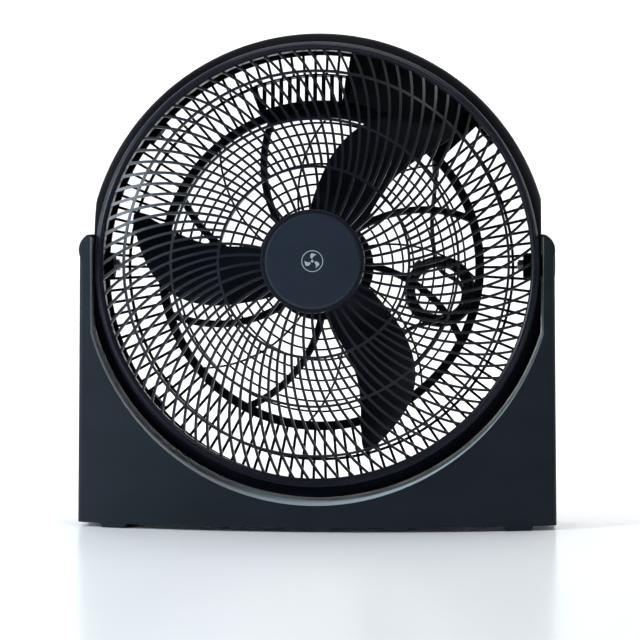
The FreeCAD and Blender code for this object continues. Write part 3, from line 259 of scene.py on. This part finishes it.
def soft(name, colour, rough=0.62, grain=0.35):
    """Rubber or soft vinyl: no shine, a fine tooth, and dust in the hollows."""
    n = Nodes(name)
    base = linear(colour)
    dusty = tuple(c * 1.35 + 0.004 for c in base)
    dust = n.noise(120.0, 5.0, 0.65)
    n.link(n.mix(n.span(dust, 0, 1, 0.45, 0.8), base, dusty), n.shader.inputs["Base Color"])
    n.link(n.span(n.noise(300.0, 3.0), rough - 0.08, rough + 0.08), n.shader.inputs["Roughness"])
    n.link(n.bump(n.noise(2200.0, 2.0), grain, 0.0001), n.shader.inputs["Normal"])
    return n.material


def laminations(name, colour):
    """A stack of thin steel sheets seen on their edges, along the head's axis."""
    n = Nodes(name)
    base = linear(colour)
    wave = n.add("ShaderNodeTexWave", wave_type="BANDS", bands_direction="Y")
    wave.inputs["Scale"].default_value = 320.0
    wave.inputs["Distortion"].default_value = 0.6
    n.link(n.place, wave.inputs["Vector"])
    n.link(n.mix(wave.outputs["Fac"], tuple(c * 0.55 for c in base), base), n.shader.inputs["Base Color"])
    n.shader.inputs["Metallic"].default_value = 0.9
    n.link(n.span(n.noise(200.0), 0.4, 0.6), n.shader.inputs["Roughness"])
    n.link(n.bump(wave.outputs["Fac"], 0.4, 0.0002), n.shader.inputs["Normal"])
    return n.material


def winding(name):
    """Enamelled copper wire, laid round the axis."""
    n = Nodes(name)
    base = linear((176, 92, 48))
    wave = n.add("ShaderNodeTexWave", wave_type="RINGS", rings_direction="Y")
    wave.inputs["Scale"].default_value = 260.0
    wave.inputs["Distortion"].default_value = 1.5
    shift = n.add("ShaderNodeMapping")
    shift.inputs["Location"].default_value = (0, 0, -PIVOT.z)
    n.link(n.place, shift.inputs["Vector"])
    n.link(shift.outputs["Vector"], wave.inputs["Vector"])
    n.link(n.mix(wave.outputs["Fac"], tuple(c * 0.45 for c in base), base), n.shader.inputs["Base Color"])
    n.shader.inputs["Metallic"].default_value = 0.85
    n.shader.inputs["Roughness"].default_value = 0.34
    n.link(n.bump(wave.outputs["Fac"], 0.6, 0.0003), n.shader.inputs["Normal"])
    return n.material


def make_materials():
    return {
        "stand_shell": plastic("stand_shell", (26, 33, 40), 0.44, 0.35, shine=0.12, spread=0.06),
        # Painted highlight: the inner wall is the same dark plastic as the stand, and its pale grey base colour
        # stands in for the top light and the grazing reflection of the pale backdrop that it catches.
        "inner_wall": plastic("inner_wall", (196, 208, 215), 0.40, 0.3, spread=0.05),
        "rubber": soft("rubber", (38, 38, 38)),
        "black_steel": metal("black_steel", (52, 52, 54), 0.38),
        "zinc_steel": metal("zinc_steel", (198, 200, 202), 0.30, (1, 8, 1)),
        "bush_plastic": plastic("bush_plastic", (214, 214, 206), 0.5, 0.3),
        "cap_plastic": plastic("cap_plastic", (25, 31, 38), 0.44, 0.35, shine=0.12, spread=0.06),
        "drum_plastic": plastic("drum_plastic", (11, 12, 18), 0.48, 0.4, shine=0.02),
        "grille_plastic": plastic("grille_plastic", (20, 22, 31), 0.40, 0.2, coat=0.2, shine=0.12,
                                  coat_rough=0.22),
        "badge_plastic": plastic("badge_plastic", (34, 42, 53), 0.36, 0.03, coat=0.12, spread=0.03),
        "rear_grille_plastic": plastic("rear_grille_plastic", (10, 11, 15), 0.46, 0.4, shine=0.1),
        "grip_plastic": plastic("grip_plastic", (24, 26, 30), 0.38, 0.5),
        "control_plastic": plastic("control_plastic", (20, 22, 25), 0.42, 0.6),
        "switch_plastic": plastic("switch_plastic", (46, 46, 48), 0.5, 0.4),
        "capacitor_case": plastic("capacitor_case", (208, 208, 202), 0.45, 0.3),
        "knob_plastic": plastic("knob_plastic", (28, 30, 34), 0.40, 0.4),
        "motor_steel": metal("motor_steel", (120, 124, 128), 0.36, (1, 1, 6)),
        "lamination_steel": laminations("lamination_steel", (128, 124, 120)),
        "copper": winding("copper"),
        "bronze": metal("bronze", (168, 128, 82), 0.38),
        "shaft_steel": metal("shaft_steel", (196, 197, 199), 0.24, (1, 10, 1)),
        "rotor_aluminium": metal("rotor_aluminium", (190, 192, 196), 0.36),
        "blade_plastic": plastic("blade_plastic", (20, 25, 34), 0.36, 0.15, coat=0.08, spread=0.07),
        "cord_pvc": soft("cord_pvc", (24, 25, 27), 0.45, 0.2),
        "tie_plastic": soft("tie_plastic", (26, 27, 29), 0.5),
        "plug_pvc": soft("plug_pvc", (34, 35, 37), 0.5, 0.3),
        "brass": metal("brass", (205, 170, 98), 0.22, (1, 1, 8)),
    }


def dress_frame(materials):
    """Every CAD node gets its slot's material."""
    slots = {entry["node"]: entry["material_slot"] for entry in frame["record"]["subparts"]}
    for name, node in frame["nodes"].items():
        material = materials[slots[name]]
        if not node.material_slots:
            node.data.materials.append(None)
        for entry in node.material_slots:
            entry.link = "OBJECT"
            entry.material = material


# ---------------------------------------------------------------- cord
CORD_RADIUS = 2.6
CORD_FORWARD = -63.0
# Each point is across from the head's middle, forwards of CORD_FORWARD, and up from the head's pivot.
CORD_LEAD = [(136.0, 0.0, 108.0), (134.5, 0.0, 88.0), (131.5, -1.0, 65.0), (131.8, -4.5, 38.0),
             (135.6, -8.0, 12.0)]
CORD_JOIN = [(138.2, -8.0, 2.5), (144.0, -7.5, -5.6), (153.0, -6.0, -10.5), (162.3, -4.2, -15.2),
             (168.4, -3.2, -23.0), (170.6, -2.9, -33.0)]
CORD_LEAVE = [(149.3, 5.6, -58.9), (139.8, 8.2, -63.0)]
CORD_TAIL = [(127.0, 8.2, -66.5), (111.0, 4.0, -69.5), (97.5, 1.0, -78.5), (90.0, 0.0, -92.0),
             (87.5, 0.0, -105.0)]
COIL_CENTRE = (141.0, -28.0)
COIL_RADIUS = 35.5
# Each turn's place in the bundle: outwards from its middle, and forwards.
COIL_LANES = [(-5.0, -2.9), (0.6, -2.9), (5.6, -2.9), (5.6, 2.9), (0.2, 2.9), (-4.6, 2.9)]
COIL_START = -33.0            # degrees, where the lead joins the first turn
COIL_END = -60.0              # where the last turn lets go, before it crosses over to the tail
TURN_POINTS = 16


def coil_turns():
    """The turns, clockwise from the lower right, each in its own lane of the bundle."""
    points = []
    last = COIL_END - 360.0 * len(COIL_LANES)
    count = round((COIL_START - last) / 360.0 * TURN_POINTS)
    for step in range(count + 1):
        angle = COIL_START + (last - COIL_START) * step / count
        lane = (COIL_START - angle) / 360.0
        low = min(int(lane), len(COIL_LANES) - 1)
        high = min(low + 1, len(COIL_LANES) - 1)
        share = min(max((lane - low) * 2.2 - 0.6, 0.0), 1.0)
        radial = COIL_LANES[low][0] * (1 - share) + COIL_LANES[high][0] * share
        forward = COIL_LANES[low][1] * (1 - share) + COIL_LANES[high][1] * share
        loose = 0.5 + 0.5 * math.cos(math.radians(angle + 40.0))
        radius = COIL_RADIUS + radial * (0.8 + 0.2 * loose)
        turn = math.radians(angle)
        points.append((COIL_CENTRE[0] + radius * math.cos(turn), forward,
                       COIL_CENTRE[1] + radius * math.sin(turn)))
    return points


def make_cord(materials):
    route = CORD_LEAD + CORD_JOIN + coil_turns() + CORD_LEAVE + CORD_TAIL
    curve = bpy.data.curves.new("mains_cord", "CURVE")
    curve.dimensions = "3D"
    curve.bevel_depth = CORD_RADIUS * MM
    curve.bevel_resolution = 5
    curve.use_fill_caps = True
    spline = curve.splines.new("NURBS")
    spline.points.add(len(route) - 1)
    for point, place in zip(spline.points, route):
        x, forward, z = place
        point.co = (*head_point(x, CORD_FORWARD + forward, z), 1)
    spline.order_u = 3
    spline.use_endpoint_u = True
    spline.resolution_u = 6
    cord = new_object("mains_cord", curve)
    curve.materials.append(materials["cord_pvc"])
    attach(cord, "head")
    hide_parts("cord_lead", "cord_coil", "cord_tail")


# ---------------------------------------------------------------- printed marks and small detail
# Millimetres. Places are about the head's pivot.
MARK_LIFT = 0.12              # the ink's face above the surface
MARK_SINK = -0.05             # and its skirt's lower edge
BADGE_FORWARD = 104.0
BADGE_FALL = 0.4 / 51.5       # the badge's face falls away this much towards its edge
SIGN_HUB = 2.4                # the sign's blades start at this radius
SIGN_REACH = 6.6              # and are this long
SIGN_DOT = 1.5
SIGN_RING = (11.4, 12.2)
SIGN_POINTS = 15              # along each edge of a blade
KNOB_PLACE = (96.0, 196.84)
COVER_FORWARD = -52.6
DIAL_STEPS = 4
TICK_FROM = 18.2
TICK_TO = 20.6
TICK_HALF_WIDTH = 0.45
NUMBER_RADIUS = 23.6
NUMBER_SIZE = 5.2
NUMBER_LIFT = 0.06
NUMBER_HALF_DEPTH = 0.08


def print_material(name, colour):
    """Screen-printed ink: slightly raised, matt, and a little uneven."""
    n = Nodes(name)
    base = linear(colour)
    n.link(n.mix(n.span(n.noise(500.0, 3.0), 0, 1), tuple(c * 0.85 for c in base), base),
           n.shader.inputs["Base Color"])
    n.shader.inputs["Roughness"].default_value = 0.5
    n.link(n.bump(n.noise(1800.0, 2.0), 0.2, 0.00005), n.shader.inputs["Normal"])
    return n.material


def badge_point(x, z, lift):
    return head_point(x, BADGE_FORWARD - BADGE_FALL * math.hypot(x, z) + lift, z)


def circle_points(radius, steps):
    turns = [2 * math.pi * k / steps for k in range(steps)]
    return [(radius * math.cos(turn), radius * math.sin(turn)) for turn in turns]


def flat_patch(bm, outline, place):
    """A thin printed patch: its face, and a skirt down to the surface under it."""
    top = [bm.verts.new(place(x, z, MARK_LIFT)) for x, z in outline]
    low = [bm.verts.new(place(x, z, MARK_SINK)) for x, z in outline]
    count = len(outline)
    bm.faces.new(top)
    for k in range(count):
        bm.faces.new((top[k], low[k], low[(k + 1) % count], top[(k + 1) % count]))


def ring_patch(bm, inner, outer, place, steps=72):
    """A thin printed ring."""
    rows = []
    for radius, lift in ((outer, MARK_SINK), (outer, MARK_LIFT), (inner, MARK_LIFT), (inner, MARK_SINK)):
        places = circle_points(radius, steps)
        rows.append([bm.verts.new(place(x, z, lift)) for x, z in places])
    for first, second in zip(rows, rows[1:]):
        for k in range(steps):
            bm.faces.new((first[k], first[(k + 1) % steps], second[(k + 1) % steps], second[k]))


def sign_blade(turn):
    """The outline of one blade of the sign: out along one edge and back along the other."""
    outline = []
    for step in range(SIGN_POINTS):
        share = step / (SIGN_POINTS - 1)
        radius = SIGN_HUB + SIGN_REACH * share
        angle = math.radians(turn + 90 - 34 * share)
        outline.append((radius * math.cos(angle), radius * math.sin(angle)))
    for step in range(SIGN_POINTS):
        share = 1 - step / (SIGN_POINTS - 1)
        radius = SIGN_HUB + SIGN_REACH * share - 0.9 * math.sin(math.pi * share)
        bulge = 22 * math.sin(math.pi * min(share * 0.9, 1.0))
        angle = math.radians(turn + 100 + bulge - 12 * share)
        outline.append((radius * math.cos(angle), radius * math.sin(angle)))
    return outline


def make_badge_mark():
    """A plain fan sign: three curved blades, a dot and a ring."""
    bm = bmesh.new()
    for blade in range(3):
        flat_patch(bm, sign_blade(120 * blade), badge_point)
    flat_patch(bm, circle_points(SIGN_DOT, 24), badge_point)
    ring_patch(bm, *SIGN_RING, badge_point)
    bmesh.ops.recalc_face_normals(bm, faces=bm.faces)
    mark = object_from_bmesh("badge_mark", bm)
    mark.data.materials.append(print_material("badge_ink", (176, 184, 190)))
    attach(mark, "head")


def cover_point(x, z, lift):
    return head_point(KNOB_PLACE[0] + x, COVER_FORWARD - lift, KNOB_PLACE[1] + z)


def dial_angle(index):
    return math.radians(90 + 45 * index)


def make_dial_ticks(ink):
    bm = bmesh.new()
    for index in range(DIAL_STEPS):
        angle = dial_angle(index)
        along = Vector((math.cos(angle), math.sin(angle)))
        across = Vector((-along.y, along.x)) * TICK_HALF_WIDTH
        near = along * TICK_FROM
        far = along * TICK_TO
        corners = (near - across, far - across, far + across, near + across)
        flat_patch(bm, [(corner.x, corner.y) for corner in corners], cover_point)
    bmesh.ops.recalc_face_normals(bm, faces=bm.faces)
    ticks = object_from_bmesh("dial_ticks", bm)
    ticks.data.materials.append(ink)
    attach(ticks, "head")


def make_dial_numbers(ink):
    """The numbers 0 to 3 round the knob, read from behind."""
    facing = Matrix.Rotation(math.radians(180), 4, "Z") @ Matrix.Rotation(math.radians(90), 4, "X")
    turn = Matrix.Rotation(LEAN, 4, "X") @ facing
    for index in range(DIAL_STEPS):
        angle = dial_angle(index)
        x = NUMBER_RADIUS * math.cos(angle)
        z = NUMBER_RADIUS * math.sin(angle)
        place = cover_point(x, z, NUMBER_LIFT)
        text = bpy.data.curves.new("dial_number", "FONT")
        text.body = str(index)
        text.size = NUMBER_SIZE * MM
        text.extrude = NUMBER_HALF_DEPTH * MM
        text.align_x = "CENTER"
        text.align_y = "CENTER"
        draft = new_object("dial_number_%d" % index, text)
        draft.matrix_world = Matrix.Translation(place) @ turn
        bpy.context.view_layer.update()
        mesh = bpy.data.meshes.new_from_object(draft)
        mesh.transform(draft.matrix_world)
        bpy.data.objects.remove(draft)
        number = new_object("dial_number_%d" % index, mesh)
        number.data.materials.clear()
        number.data.materials.append(ink)
        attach(number, "head")


# ---------------------------------------------------------------- all of it
make_camera()
make_floor()
make_lights()
materials = make_materials()
dress_frame(materials)
make_cord(materials)
make_badge_mark()
dial_ink = print_material("dial_ink", (206, 208, 210))
make_dial_ticks(dial_ink)
make_dial_numbers(dial_ink)
